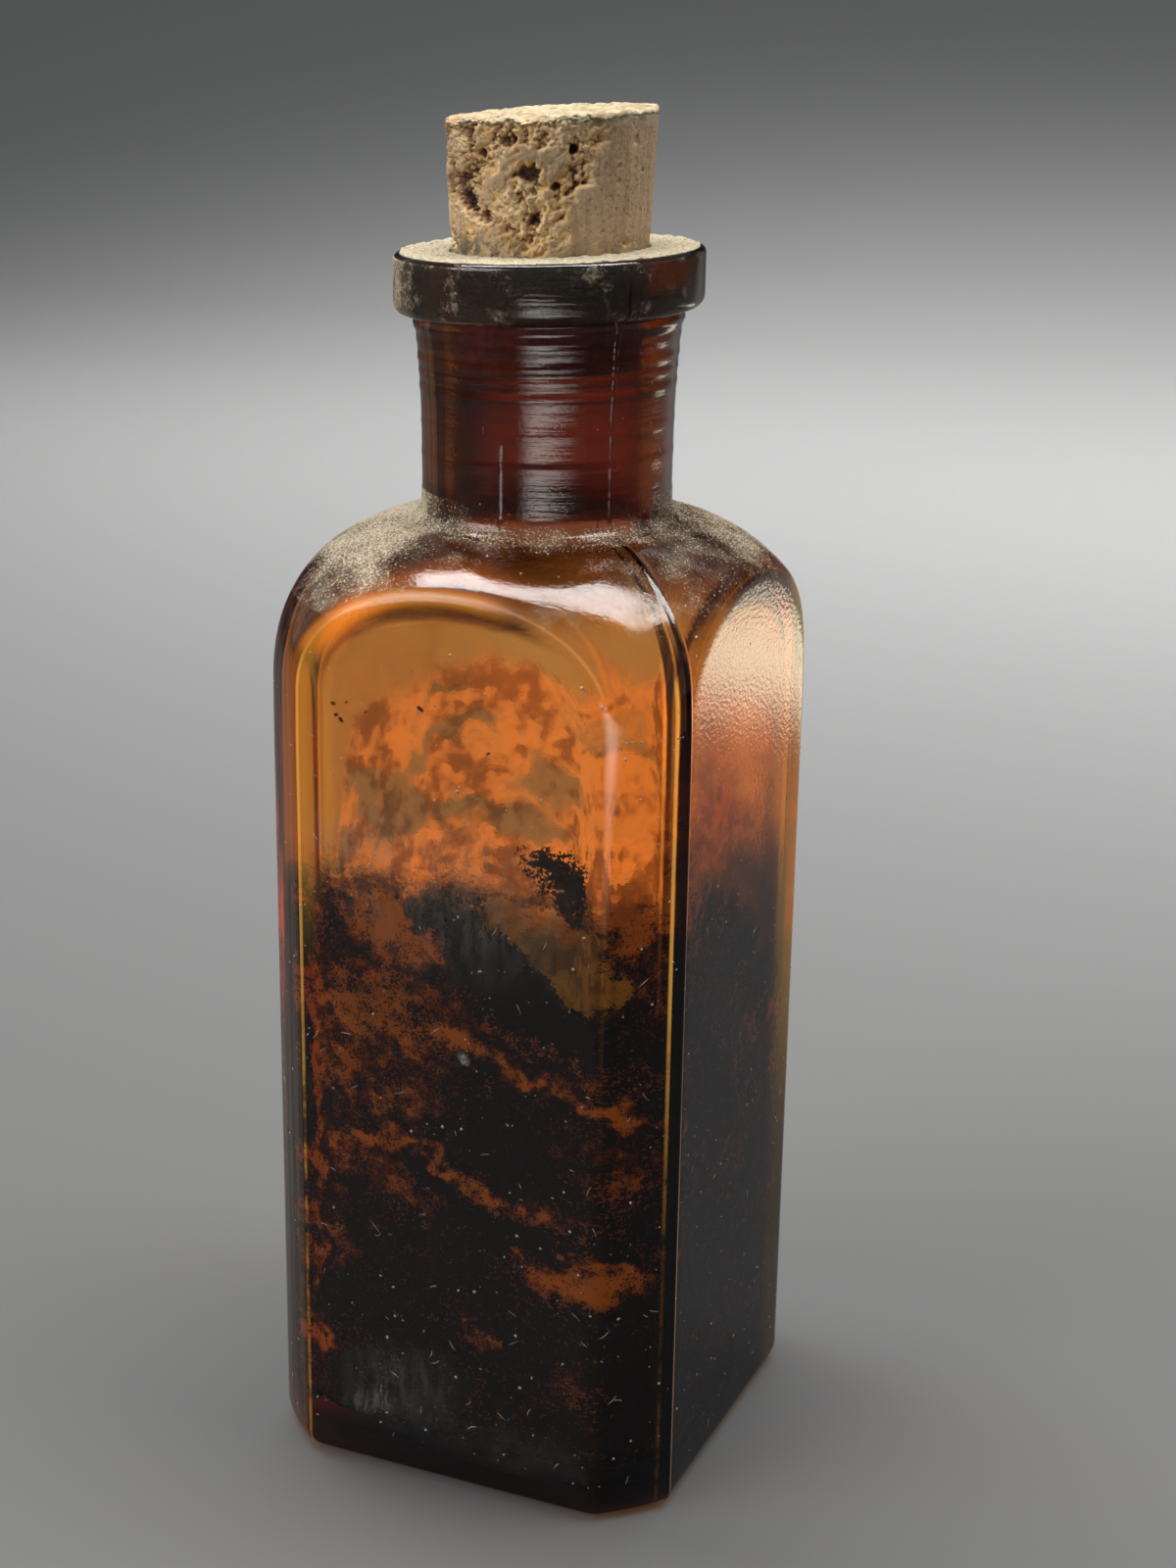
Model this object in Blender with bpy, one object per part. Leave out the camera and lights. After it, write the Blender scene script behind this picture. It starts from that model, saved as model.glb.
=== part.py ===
"""Square amber druggist's bottle, with its worn cork and the dried remains of what it held.

Metres, +Z up. The origin is under the middle of the base, the wide front face looks along -Y, and the
bore of the neck is on the Z axis. The glass was blown in a mould: its outside is a turned form whose
four sides are pressed flat, and its inside is a smaller form of the same kind.
"""

import math

import bmesh
import bpy
from mathutils import Matrix, Vector

# Outside of the body
BODY_WIDTH = 0.0410  # across two flats
CORNER_CUT = 0.00535  # what each rounded corner takes off the end of a flat
BODY_HEIGHT = 0.0768  # from the table to where the corners turn in
SHOULDER_RISE = 0.0136
HEEL_RADIUS = 0.0018
PUSH_UP_RADIUS = 0.0125  # the shallow hollow under the base
PUSH_UP_DEPTH = 0.0008

# Walls
FLAT_WALL = 0.0029
CORNER_WALL = 0.0034
BASE_WALL = 0.0034
SHOULDER_WALL = 0.0022
NECK_WALL = 0.0028
CAVITY_HEEL_RADIUS = 0.0026

# Neck and tooled lip
NECK_LENGTH = 0.0188  # from the top of the shoulder to the underside of the lip
NECK_ROOT_RADIUS = 0.0017  # fillet where the neck leaves the shoulder
BORE_ROOT_RADIUS = 0.0020  # the same on the inside
NECK_FLARE = 0.0007  # how much wider the neck gets under the lip
LIP_HEIGHT = 0.0053
LIP_OVERHANG = 0.0018
LIP_TOP_ROUNDING = 0.0004
LIP_UNDER_ROUNDING = 0.0011
LIP_LEAN = math.radians(2.2)  # the lip was tooled by hand and isn't level
LIP_HIGH_SIDE = math.radians(23.1)  # the side on which it is highest, from +X
LEAN_ROOT = 0.0104  # how far below the top of the shoulder the lean begins

# Cork
CORK_LENGTH = 0.0219
CORK_DEPTH = 0.0100  # how far it is pushed into the neck
CORK_FOOT_RADIUS = 0.0083
CORK_TAPER = 0.0525  # gain in radius for each length of height
CORK_TOP_SLANT = math.radians(2.1)  # the top was cut a little askew, on top of the lip's lean
CORK_EDGE_RADIUS = 0.0004
CORK_HOLLOW_BITE = 0.35  # the part of a hollow's radius that sinks into the cork
CORK_HOLLOWS = (  # where the side has crumbled: degrees from +X, share of the bare height, radius
    (-148, 0.76, 0.0019),
    (-137, 0.28, 0.0021),
    (-113, 0.56, 0.0024),
    (-106, 0.13, 0.0014),
    (-88, 0.82, 0.0012),
    (-84, 0.38, 0.0019),
    (-62, 0.64, 0.0014),
)

# Dried remains
FILM_THICKNESS = 0.0005  # the crust that clings to the inside of the walls
FILM_FREEBOARD = 0.0053  # from the top of the crust to the start of the shoulder
CAKE_DEPTH = 0.0060  # the caked layer on the bottom

CLEARANCE = 0.0003  # between every two pieces

# Fineness of the round forms
SEGMENTS = 64
SHOULDER_STEPS = 11
FILLET_STEPS = 4
NECK_STEPS = 6
SHOULDER_SPREAD = 1.43  # 2 would end level at the neck like an ellipse, less runs down to it more steeply
SHOULDER_FULLNESS = 2.3  # 2 would leave the body like an ellipse, more stays upright longer

CORNER_RADIUS = math.hypot(BODY_WIDTH / 2, BODY_WIDTH / 2 - CORNER_CUT)
CAVITY_CORNER_RADIUS = CORNER_RADIUS - CORNER_WALL
CAVITY_HALF_WIDTH = BODY_WIDTH / 2 - FLAT_WALL
SHOULDER_TOP = BODY_HEIGHT + SHOULDER_RISE
LIP_BOTTOM = SHOULDER_TOP + NECK_LENGTH
LIP_TOP = LIP_BOTTOM + LIP_HEIGHT
CORK_FOOT = LIP_TOP - CORK_DEPTH
CORK_TOP = CORK_FOOT + CORK_LENGTH
BORE_RADIUS = CORK_FOOT_RADIUS + CLEARANCE
NECK_RADIUS = BORE_RADIUS + NECK_WALL
LIP_RADIUS = NECK_RADIUS + NECK_FLARE + LIP_OVERHANG

AMBER_GLASS = ((0.21, 0.055, 0.012), 0.04)
CORK_BARK = ((0.52, 0.32, 0.16), 0.92)
RUST_CRUST = ((0.30, 0.095, 0.025), 0.85)
DARK_CAKE = ((0.012, 0.010, 0.009), 0.80)


def clear_scene():
    for old in list(bpy.data.objects):
        bpy.data.objects.remove(old)


def material(name, look):
    colour, roughness = look
    made = bpy.data.materials.new(name)
    made.use_nodes = True
    shader = made.node_tree.nodes["Principled BSDF"]
    shader.inputs["Base Color"].default_value = (*colour, 1.0)
    shader.inputs["Roughness"].default_value = roughness
    shader.inputs["Metallic"].default_value = 0.0
    return made


def smooth_step(share):
    share = min(max(share, 0.0), 1.0)
    return share * share * (3 - 2 * share)


def arc(centre, radius, start, end, steps=FILLET_STEPS):
    """Points of (radius, height) on an arc, with its angles in degrees."""
    angles = [math.radians(start + (end - start) * n / steps) for n in range(steps + 1)]
    return [(centre[0] + radius * math.cos(a), centre[1] + radius * math.sin(a)) for a in angles]


def shoulder(foot_radius, top_radius, foot, top):
    """The rounded shoulder, from its foot in to where it lies level at its top."""
    points = []
    for n in range(SHOULDER_STEPS + 1):
        turn = math.pi / 2 * n / SHOULDER_STEPS
        across = math.cos(turn) ** (2 / SHOULDER_SPREAD) if n < SHOULDER_STEPS else 0.0
        up = math.sin(turn) ** (2 / SHOULDER_FULLNESS)
        points.append((top_radius + (foot_radius - top_radius) * across, foot + (top - foot) * up))
    return points


def cork_radius(height):
    return CORK_FOOT_RADIUS + CORK_TAPER * (height - CORK_FOOT)


def turned(name, profile, look, half_width=None, heel=0.0):
    """A solid turned round Z from (radius, height) points, pressed flat on four sides and rounded at its foot."""
    form = bmesh.new()
    line = [form.verts.new((radius, 0, height)) for radius, height in profile]
    edges = [form.edges.new(pair) for pair in zip(line, line[1:])]
    bmesh.ops.spin(form, geom=line + edges, axis=(0, 0, 1), cent=(0, 0, 0), angle=math.tau, steps=SEGMENTS)
    bmesh.ops.remove_doubles(form, verts=form.verts, dist=1e-6)
    if half_width is not None:
        press_flats(form, half_width)
    if heel > 0:
        round_heel(form, heel)
    bmesh.ops.recalc_face_normals(form, faces=form.faces)
    for vert in form.verts:
        vert.co.z += lean(vert.co)
    mesh = bpy.data.meshes.new(name)
    form.to_mesh(mesh)
    form.free()
    mesh.shade_smooth()
    mesh.set_sharp_from_angle(angle=math.radians(28))
    mesh.materials.append(look)
    made = bpy.data.objects.new(name, mesh)
    bpy.context.collection.objects.link(made)
    return made


def press_flats(form, half_width):
    for quarter in range(4):
        out = Vector((math.cos(quarter * math.pi / 2), math.sin(quarter * math.pi / 2), 0))
        everything = list(form.verts) + list(form.edges) + list(form.faces)
        bmesh.ops.bisect_plane(form, geom=everything, plane_co=out * half_width, plane_no=out, clear_outer=True)
        bmesh.ops.edgeloop_fill(form, edges=[edge for edge in form.edges if edge.is_boundary])


def round_heel(form, heel):
    foot = min(vert.co.z for vert in form.verts)
    around = [
        edge
        for edge in form.edges
        if all(abs(vert.co.z - foot) < 1e-6 for vert in edge.verts) and edge.calc_face_angle() > 1
    ]
    bmesh.ops.bevel(form, geom=around, offset=heel, segments=3, profile=0.5, affect="EDGES")


def lean(point):
    """How far a point rises or falls with the crooked lip and cork. Nothing moves on the body."""
    towards = point.x * math.cos(LIP_HIGH_SIDE) + point.y * math.sin(LIP_HIGH_SIDE)
    share = smooth_step((point.z - SHOULDER_TOP + LEAN_ROOT) / (NECK_LENGTH + LEAN_ROOT))
    cork_share = smooth_step((point.z - LIP_TOP) / (CORK_TOP - LIP_TOP))
    return towards * (share * math.tan(LIP_LEAN) + cork_share * math.tan(CORK_TOP_SLANT))


def cut(target, cutter):
    """Takes the cutter out of the target and hides the cutter."""
    taken = target.modifiers.new(cutter.name, "BOOLEAN")
    taken.operation = "DIFFERENCE"
    taken.object = cutter
    cutter.hide_render = True
    cutter.display_type = "WIRE"


def outer_profile():
    hollow = [
        (PUSH_UP_RADIUS * n / FILLET_STEPS, PUSH_UP_DEPTH * (1 - (n / FILLET_STEPS) ** 2))
        for n in range(FILLET_STEPS + 1)
    ]
    sides = [(CORNER_RADIUS, 0.0)]
    top = shoulder(CORNER_RADIUS, NECK_RADIUS + NECK_ROOT_RADIUS, BODY_HEIGHT, SHOULDER_TOP)
    root = arc((NECK_RADIUS + NECK_ROOT_RADIUS, SHOULDER_TOP + NECK_ROOT_RADIUS), NECK_ROOT_RADIUS, 270, 180)
    return hollow + sides + top + root[1:] + neck_profile() + lip_profile()


def neck_profile():
    """The neck from above its fillet to the underside of the lip, flaring a little at the top."""
    foot = SHOULDER_TOP + NECK_ROOT_RADIUS
    points = []
    for n in range(1, NECK_STEPS + 1):
        share = n / NECK_STEPS
        points.append((NECK_RADIUS + NECK_FLARE * share**3, foot + (LIP_BOTTOM - foot) * share))
    return points


def lip_profile():
    low, high = LIP_UNDER_ROUNDING, LIP_TOP_ROUNDING
    under = arc((LIP_RADIUS - low, LIP_BOTTOM + low), low, 270, 360)
    over = arc((LIP_RADIUS - high, LIP_TOP - high), high, 0, 90, 3)
    return under + over + [(0.0, LIP_TOP)]


def cavity_profile():
    """The hollow inside: floor, walls, shoulder, bore, and the taper that the cork fits."""
    bore_root = BORE_RADIUS + BORE_ROOT_RADIUS
    ceiling = SHOULDER_TOP - SHOULDER_WALL
    above = LIP_TOP + LIP_HEIGHT
    floor = [(0.0, BASE_WALL), (CAVITY_CORNER_RADIUS, BASE_WALL)]
    top = shoulder(CAVITY_CORNER_RADIUS, bore_root, BODY_HEIGHT, ceiling)
    root = arc((bore_root, ceiling + BORE_ROOT_RADIUS), BORE_ROOT_RADIUS, 270, 180)
    foot = ceiling + BORE_ROOT_RADIUS
    bore = [(BORE_RADIUS, foot + (CORK_FOOT - foot) * n / NECK_STEPS) for n in range(1, NECK_STEPS + 1)]
    taper = [(cork_radius(height) + CLEARANCE, height) for height in (LIP_BOTTOM, LIP_TOP, above)]
    return floor + top + root[1:] + bore + taper + [(0.0, above)]


def glass_bottle():
    look = material("amber_glass", AMBER_GLASS)
    glass = turned("glass_bottle", outer_profile(), look, BODY_WIDTH / 2, HEEL_RADIUS)
    cavity = turned("cavity", cavity_profile(), look, CAVITY_HALF_WIDTH, CAVITY_HEEL_RADIUS)
    cut(glass, cavity)
    return glass


def inside_block(name, inset, top, look):
    """A block that fills the cavity's straight part up to a height, with a gap of inset all round."""
    radius = CAVITY_CORNER_RADIUS - inset
    foot = BASE_WALL + inset
    profile = [(0.0, foot), (radius, foot), (radius, top), (0.0, top)]
    return turned(name, profile, look, CAVITY_HALF_WIDTH - inset, CAVITY_HEEL_RADIUS - inset)


def residue_film():
    """The crust on the walls: an open cup that follows the cavity."""
    look = material("rust_crust", RUST_CRUST)
    top = BODY_HEIGHT - FILM_FREEBOARD
    film = inside_block("residue_film", CLEARANCE, top, look)
    hollow = inside_block("film_hollow", CLEARANCE + FILM_THICKNESS, top + BODY_WIDTH, look)
    cut(film, hollow)
    return film


def residue_cake():
    """The caked layer that lies on the bottom of the crust."""
    inset = 2 * CLEARANCE + FILM_THICKNESS
    return inside_block("residue_cake", inset, BASE_WALL + inset + CAKE_DEPTH, material("dark_cake", DARK_CAKE))


def cork_stopper():
    """The tapered cork, with its crumbled side. Its origin is on the bore's axis, level with the lip."""
    look = material("cork_bark", CORK_BARK)
    edge = CORK_EDGE_RADIUS
    rim = cork_radius(CORK_TOP) - edge
    sides = [(0.0, CORK_FOOT), (CORK_FOOT_RADIUS, CORK_FOOT)]
    sides += [(cork_radius(height), height) for height in (LIP_BOTTOM, LIP_TOP)]
    top = arc((rim, CORK_TOP - edge), edge, 0, 90, 3) + [(0.0, CORK_TOP)]
    cork = turned("cork_stopper", sides + top, look)
    for n, hollow in enumerate(CORK_HOLLOWS):
        cut(cork, cork_hollow(f"cork_hollow_{n}", look, *hollow))
    seat = Matrix.Translation((0, 0, LIP_TOP))
    cork.data.transform(seat.inverted())
    cork.matrix_world = seat
    return cork


def cork_hollow(name, look, degrees, share, radius):
    """A round bite out of the bare part of the cork's side."""
    height = LIP_TOP + (CORK_TOP - LIP_TOP) * share
    out = cork_radius(height) + radius * (1 - CORK_HOLLOW_BITE)
    turn = math.radians(degrees)
    ball = bmesh.new()
    bmesh.ops.create_icosphere(ball, subdivisions=2, radius=radius)
    mesh = bpy.data.meshes.new(name)
    ball.to_mesh(mesh)
    ball.free()
    mesh.materials.append(look)
    made = bpy.data.objects.new(name, mesh)
    made.location = (out * math.cos(turn), out * math.sin(turn), height)
    bpy.context.collection.objects.link(made)
    return made


clear_scene()
bottle = glass_bottle()
for piece in (residue_film(), residue_cake(), cork_stopper()):
    piece.parent = bottle
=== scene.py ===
import functools
import math
import random

import bpy
from mathutils import Matrix, Vector, noise


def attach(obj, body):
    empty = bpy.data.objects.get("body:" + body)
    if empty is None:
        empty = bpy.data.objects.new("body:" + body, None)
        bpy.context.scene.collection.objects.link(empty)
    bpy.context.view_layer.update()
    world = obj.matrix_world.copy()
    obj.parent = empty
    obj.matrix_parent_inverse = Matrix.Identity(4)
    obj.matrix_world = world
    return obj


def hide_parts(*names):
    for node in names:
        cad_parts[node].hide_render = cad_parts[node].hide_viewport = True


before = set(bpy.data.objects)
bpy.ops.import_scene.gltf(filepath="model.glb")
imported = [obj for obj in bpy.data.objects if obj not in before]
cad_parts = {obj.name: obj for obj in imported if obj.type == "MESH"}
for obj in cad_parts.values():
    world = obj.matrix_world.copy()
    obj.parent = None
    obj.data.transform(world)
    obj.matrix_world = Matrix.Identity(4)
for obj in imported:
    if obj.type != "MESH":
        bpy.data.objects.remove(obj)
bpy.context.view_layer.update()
bpy.ops.object.select_all(action="DESELECT")
scene = bpy.context.scene
scene.view_settings.view_transform = "Standard"


# Camera.
# It stands where the photograph was taken from: 23 cm from the bottle and just above its cork, a little to
# the right of the front face, tilted down.
VIEW_TURN = math.radians(23.1)

bpy.ops.object.camera_add(location=(0.09413, -0.21002, 0.13848))
camera = bpy.context.object
turn = Matrix.Rotation(VIEW_TURN, 3, "Z")
tip = Matrix.Rotation(math.radians(72.18), 3, "X")
roll = Matrix.Rotation(math.radians(0.96), 3, "Z")
camera.rotation_euler = (turn @ tip @ roll).to_euler()
camera.data.sensor_width = 36
camera.data.lens = 58.5
camera.data.clip_start = 0.01
scene.camera = camera


# Glass.
# One piece of amber glass, blown in a two-part mould: a round form with four sides pressed flat, a raised
# seam up two corners, and a neck and lip that were turned and tooled by hand while the glass was hot.
MM = 0.001
BODY_HALF = 20.5 * MM
CORNER_RADIUS = math.hypot(20.5, 15.15) * MM
BODY_TOP = 76.8 * MM
SHOULDER_TOP = 90.4 * MM
DOME_ACROSS, DOME_UP = 1.43, 2.3  # the powers that give the shoulder's dome its full section
HEEL = 1.8 * MM
NECK_RADIUS = 11.4 * MM
NECK_FLARE = 0.7 * MM
NECK_ROOT = 1.7 * MM
LIP_BOTTOM = 109.2 * MM
LIP_TOP = 114.5 * MM
LIP_RADIUS = 13.9 * MM
LIP_BEND, LIP_EDGE = 1.1 * MM, 0.6 * MM
MOUTH_RADIUS = 9.12 * MM
OUTER_EASE, OUTER_EASE_ABOVE = 0.5 * MM, 1.2 * MM
GLASS_SIDES = 360
SEAM_TURN = math.radians(-36.5)
SEAM_HALF = 0.3 * MM
# (azimuth, foot, rise in mm)
SEAMS = ((SEAM_TURN, 0.0, 0.24), (SEAM_TURN + math.pi, 0.0, 0.24), (math.radians(-87.4), 91 * MM, 0.22))
# (height, rise, half-width) of the rings that the tool left on the neck, in mm
TOOL_RINGS = (
    (108.3, 0.22, 0.45), (106.9, 0.07, 0.25), (105.3, 0.09, 0.3), (104.1, 0.07, 0.25), (102.7, 0.08, 0.3),
    (99.4, 0.04, 0.3), (96.6, 0.05, 0.4),
)
LEAN, LEAN_BELOW, LEAN_LENGTH = math.radians(2.2), 10.4 * MM, 29.2 * MM
CORK_SLANT = math.radians(2.1)

INNER_HALF = 17.6 * MM
INNER_RADIUS = 22.1 * MM
INNER_HEEL = 2.6 * MM
INNER_EASE, INNER_EASE_ABOVE = 1.0 * MM, 2.0 * MM
FLOOR = 3.4 * MM
CEILING = 88.2 * MM
BORE_RADIUS = 8.6 * MM
BORE_ROOT = 2.0 * MM
CORK_FOOT = 104.5 * MM
CORK_TOP = 126.4 * MM


def smooth_step(share):
    share = min(max(share, 0.0), 1.0)
    return share * share * (3 - 2 * share)


def arc(centre, radius, start, end, steps):
    """Points of (radius, height) on an arc."""
    angles = [math.radians(start + (end - start) * n / steps) for n in range(steps + 1)]
    return [(centre[0] + radius * math.cos(a), centre[1] + radius * math.sin(a)) for a in angles]


def straight(start, end, steps):
    """Points between two points, without the first."""
    return [tuple(a + (b - a) * n / steps for a, b in zip(start, end)) for n in range(1, steps + 1)]


def shoulder(foot_radius, top_radius, foot, top, steps):
    """The dome from the upright corners in to the neck."""
    points = []
    for n in range(1, steps + 1):
        turn = math.pi / 2 * n / steps
        across = max(math.cos(turn), 0.0) ** (2 / DOME_ACROSS)
        height = foot + (top - foot) * math.sin(turn) ** (2 / DOME_UP)
        points.append((top_radius + (foot_radius - top_radius) * across, height))
    return points


def lean(point):
    """How far the crooked lip and the cork's slanting top lift a point."""
    towards = point.x * math.cos(VIEW_TURN) + point.y * math.sin(VIEW_TURN)
    share = smooth_step((point.z - SHOULDER_TOP + LEAN_BELOW) / LEAN_LENGTH)
    cork_share = smooth_step((point.z - LIP_TOP) / (CORK_TOP - LIP_TOP))
    return towards * (share * math.tan(LEAN) + cork_share * math.tan(CORK_SLANT))


def choose(wanted):
    """In edit mode, selects the vertices for which wanted is true."""
    bpy.ops.mesh.select_mode(type="VERT")
    bpy.ops.mesh.select_all(action="DESELECT")
    bpy.ops.object.mode_set(mode="OBJECT")
    mesh = bpy.context.object.data
    mesh.vertices.foreach_set("select", [bool(wanted(vert.co)) for vert in mesh.vertices])
    bpy.ops.object.mode_set(mode="EDIT")


def turned(name, profile, sides):
    """Draws a profile of (radius, height) from one vertex and spins it round the bottle's axis."""
    bpy.ops.object.select_all(action="DESELECT")
    radius, height = profile[0]
    bpy.ops.mesh.primitive_plane_add(size=MM, location=(radius, 0, height))
    made = bpy.context.object
    made.name = made.data.name = name
    bpy.ops.object.transform_apply(location=True)
    bpy.ops.object.mode_set(mode="EDIT")
    bpy.ops.mesh.select_mode(type="VERT")
    bpy.ops.mesh.merge(type="CENTER")
    for near, far in zip(profile, profile[1:]):
        step = (far[0] - near[0], 0, far[1] - near[1])
        bpy.ops.mesh.extrude_region_move(TRANSFORM_OT_translate={"value": step})
    bpy.ops.object.mode_set(mode="OBJECT")
    lathe = made.modifiers.new("lathe", "SCREW")
    lathe.axis = "Z"
    lathe.angle = math.tau
    lathe.steps = lathe.render_steps = sides
    lathe.use_merge_vertices = True
    lathe.merge_threshold = 1e-6
    bpy.ops.object.modifier_apply(modifier="lathe")
    bpy.ops.object.mode_set(mode="EDIT")
    bpy.ops.mesh.select_all(action="SELECT")
    bpy.ops.mesh.normals_make_consistent(inside=False)
    # half a step of the glass, so that the middle of a flat falls between two columns of vertices
    bpy.ops.transform.rotate(value=math.radians(0.5), orient_axis="Z", center_override=(0, 0, 0))
    return made


def press_flats(half, ease, ease_above):
    """Presses four flats into the turned form and rounds their creases, which are softer above the walls."""
    bpy.ops.object.mode_set(mode="OBJECT")
    for vert in bpy.context.object.data.vertices:
        radius = math.hypot(vert.co.x, vert.co.y)
        off_middle = (math.atan2(vert.co.y, vert.co.x) + math.pi / 4) % (math.pi / 2) - math.pi / 4
        flat = half / math.cos(off_middle)
        soft = ease + (ease_above - ease) * smooth_step((vert.co.z - BODY_TOP + 3 * MM) / (6 * MM))
        share = max(1 - abs(radius - flat) / soft, 0)
        pressed = min(radius, flat) - share * share * soft / 4
        vert.co.x *= pressed / radius
        vert.co.y *= pressed / radius
    bpy.ops.object.mode_set(mode="EDIT")


def close_foot(height, heel, half):
    """Draws the open lower rim in round the heel and says how much smaller it became."""
    choose(lambda co: abs(co.z - height) < 1e-6)
    size, steps = 1.0, 6
    for n in range(1, steps + 1):
        turn = math.pi / 2 * n / steps
        fall = heel * (math.sin(turn) - math.sin(turn - math.pi / 2 / steps))
        bpy.ops.mesh.extrude_region_move(TRANSFORM_OT_translate={"value": (0, 0, -fall)})
        now = 1 - heel * (1 - math.cos(turn)) / half
        bpy.ops.transform.resize(value=(now / size, now / size, 1), center_override=(0, 0, 0))
        size = now
    return size


def close_centre(size, rings, height, hollow=0.0):
    """Fills the foot with rings down to the middle, rising to a shallow hollow there."""
    for ring in rings:
        rise = hollow if ring == rings[-1] else 0.0
        bpy.ops.mesh.extrude_region_move(TRANSFORM_OT_translate={"value": (0, 0, rise)})
        bpy.ops.transform.resize(value=(ring / size, ring / size, 1), center_override=(0, 0, height))
        size = ring
    bpy.ops.mesh.merge(type="CENTER")


def lift_lean():
    """Lifts the piece in hand as the crooked lip and the cork's top are lifted."""
    bpy.ops.object.mode_set(mode="OBJECT")
    for vert in bpy.context.object.data.vertices:
        vert.co.z += lean(vert.co)


def neck_points():
    """The neck between its root and the lip, with the rings that the tool left."""
    foot = SHOULDER_TOP + NECK_ROOT
    points, steps = [], 56
    for n in range(1, steps + 1):
        share = n / steps
        height = foot + (LIP_BOTTOM - foot) * share
        radius = NECK_RADIUS + NECK_FLARE * share**3
        for at, rise, wide in TOOL_RINGS:
            radius += rise * MM * math.exp(-(((height / MM - at) / wide) ** 2))
        points.append((radius, height))
    return points


outside = [(CORNER_RADIUS, HEEL)] + straight((CORNER_RADIUS, HEEL), (CORNER_RADIUS, BODY_TOP), 18)
outside += shoulder(CORNER_RADIUS, NECK_RADIUS + NECK_ROOT, BODY_TOP, SHOULDER_TOP, 50)
outside += arc((NECK_RADIUS + NECK_ROOT, SHOULDER_TOP + NECK_ROOT), NECK_ROOT, 270, 180, 7)[1:]
outside += neck_points()
outside += arc((LIP_RADIUS - LIP_BEND, LIP_BOTTOM + LIP_BEND), LIP_BEND, 270, 360, 7)
outside += arc((LIP_RADIUS - LIP_EDGE, LIP_TOP - LIP_EDGE), LIP_EDGE, 0, 90, 6)
outside += straight(outside[-1], (MOUTH_RADIUS, LIP_TOP), 10)
glass = turned("bottle_glass", outside, GLASS_SIDES)
press_flats(BODY_HALF, OUTER_EASE, OUTER_EASE_ABOVE)
for seam, foot, rise in SEAMS:
    out = Vector((math.cos(seam), math.sin(seam), 0))
    across = Vector((-out.y, out.x, 0))
    for offset in (-SEAM_HALF, 0.0, SEAM_HALF):
        choose(lambda co: co.dot(out) > 8 * MM and abs(co.dot(across)) < 4 * MM and foot <= co.z < LIP_TOP - MM)
        bpy.ops.mesh.bisect(plane_co=across * offset, plane_no=across)
    low, high = foot + 0.1 * MM, LIP_TOP - 1.2 * MM
    choose(lambda co: co.dot(out) > 9.5 * MM and abs(co.dot(across)) < 0.02 * MM and low < co.z < high)
    bpy.ops.transform.translate(value=out * rise * MM)
size = close_foot(HEEL, HEEL, BODY_HALF)
close_centre(size, (0.8, 0.62, 0.35, 0.05), 0.0, 0.8 * MM)
lift_lean()

inside = [(INNER_RADIUS, FLOOR + INNER_HEEL)]
inside += straight(inside[0], (INNER_RADIUS, BODY_TOP), 14)
inside += shoulder(INNER_RADIUS, BORE_RADIUS + BORE_ROOT, BODY_TOP, CEILING, 36)
inside += arc((BORE_RADIUS + BORE_ROOT, CEILING + BORE_ROOT), BORE_ROOT, 270, 180, 7)[1:]
inside += straight((BORE_RADIUS, CEILING + BORE_ROOT), (BORE_RADIUS, CORK_FOOT), 12)
inside += straight((BORE_RADIUS, CORK_FOOT), (MOUTH_RADIUS, LIP_TOP), 10)
hollow = turned("bottle_hollow", inside, GLASS_SIDES)
press_flats(INNER_HALF, INNER_EASE, INNER_EASE_ABOVE)
size = close_foot(FLOOR + INNER_HEEL, INNER_HEEL, INNER_HALF)
close_centre(size, (0.7, 0.4, 0.1), FLOOR)
lift_lean()

bpy.ops.object.select_all(action="DESELECT")
hollow.select_set(True)
glass.select_set(True)
bpy.context.view_layer.objects.active = glass
bpy.ops.object.join()
bpy.ops.object.mode_set(mode="EDIT")
bpy.ops.mesh.select_all(action="SELECT")
bpy.ops.mesh.remove_doubles(threshold=0.004 * MM)
bpy.ops.mesh.normals_make_consistent(inside=False)
bpy.ops.object.mode_set(mode="OBJECT")
bpy.ops.object.shade_smooth()


def feed(node, feeds):
    """Gives a node's inputs values or links. A colour is given without its alpha."""
    for name, value in feeds.items():
        socket = node.inputs[name]
        if isinstance(value, bpy.types.NodeSocket):
            node.id_data.links.new(value, socket)
        else:
            socket.default_value = (*value, 1) if socket.type == "RGBA" else value


def place(kind, feeds, **settings):
    """Adds a node to the tree that its feeds come from, sets its options and feeds its inputs."""
    tree = next(value.id_data for value in feeds.values() if isinstance(value, bpy.types.NodeSocket))
    made = tree.nodes.new(kind)
    for option, value in settings.items():
        setattr(made, option, value)
    feed(made, feeds)
    return made


def maths(operation, first, second=0.0, third=0.0):
    return place("ShaderNodeMath", {0: first, 1: second, 2: third}, operation=operation).outputs[0]


def times(*values):
    """The product of two or more values."""
    return functools.reduce(lambda first, second: maths("MULTIPLY", first, second), values)


def most(*values):
    """The highest of two or more values."""
    return functools.reduce(lambda first, second: maths("MAXIMUM", first, second), values)


def plus(base, value, much):
    """A base with a value added so many times over."""
    return maths("MULTIPLY_ADD", value, much, base)


def rest_of(mask):
    return maths("SUBTRACT", 1.0, mask)


def spread(value, low, high, to_low=0.0, to_high=1.0):
    """A smooth change from one value to another as the input goes from low to high."""
    feeds = {"Value": value, "From Min": low, "From Max": high, "To Min": to_low, "To Max": to_high}
    return place("ShaderNodeMapRange", feeds, interpolation_type="SMOOTHSTEP").outputs["Result"]


def fade(value, low, high):
    """A mask that goes from 1 to 0 as the input goes from low to high."""
    return spread(value, low, high, 1.0, 0.0)


def band(value, low, full_from, full_to, high):
    """A mask that is 1 in the middle of a range and 0 outside it."""
    return times(spread(value, low, full_from), fade(value, full_to, high))


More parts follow.
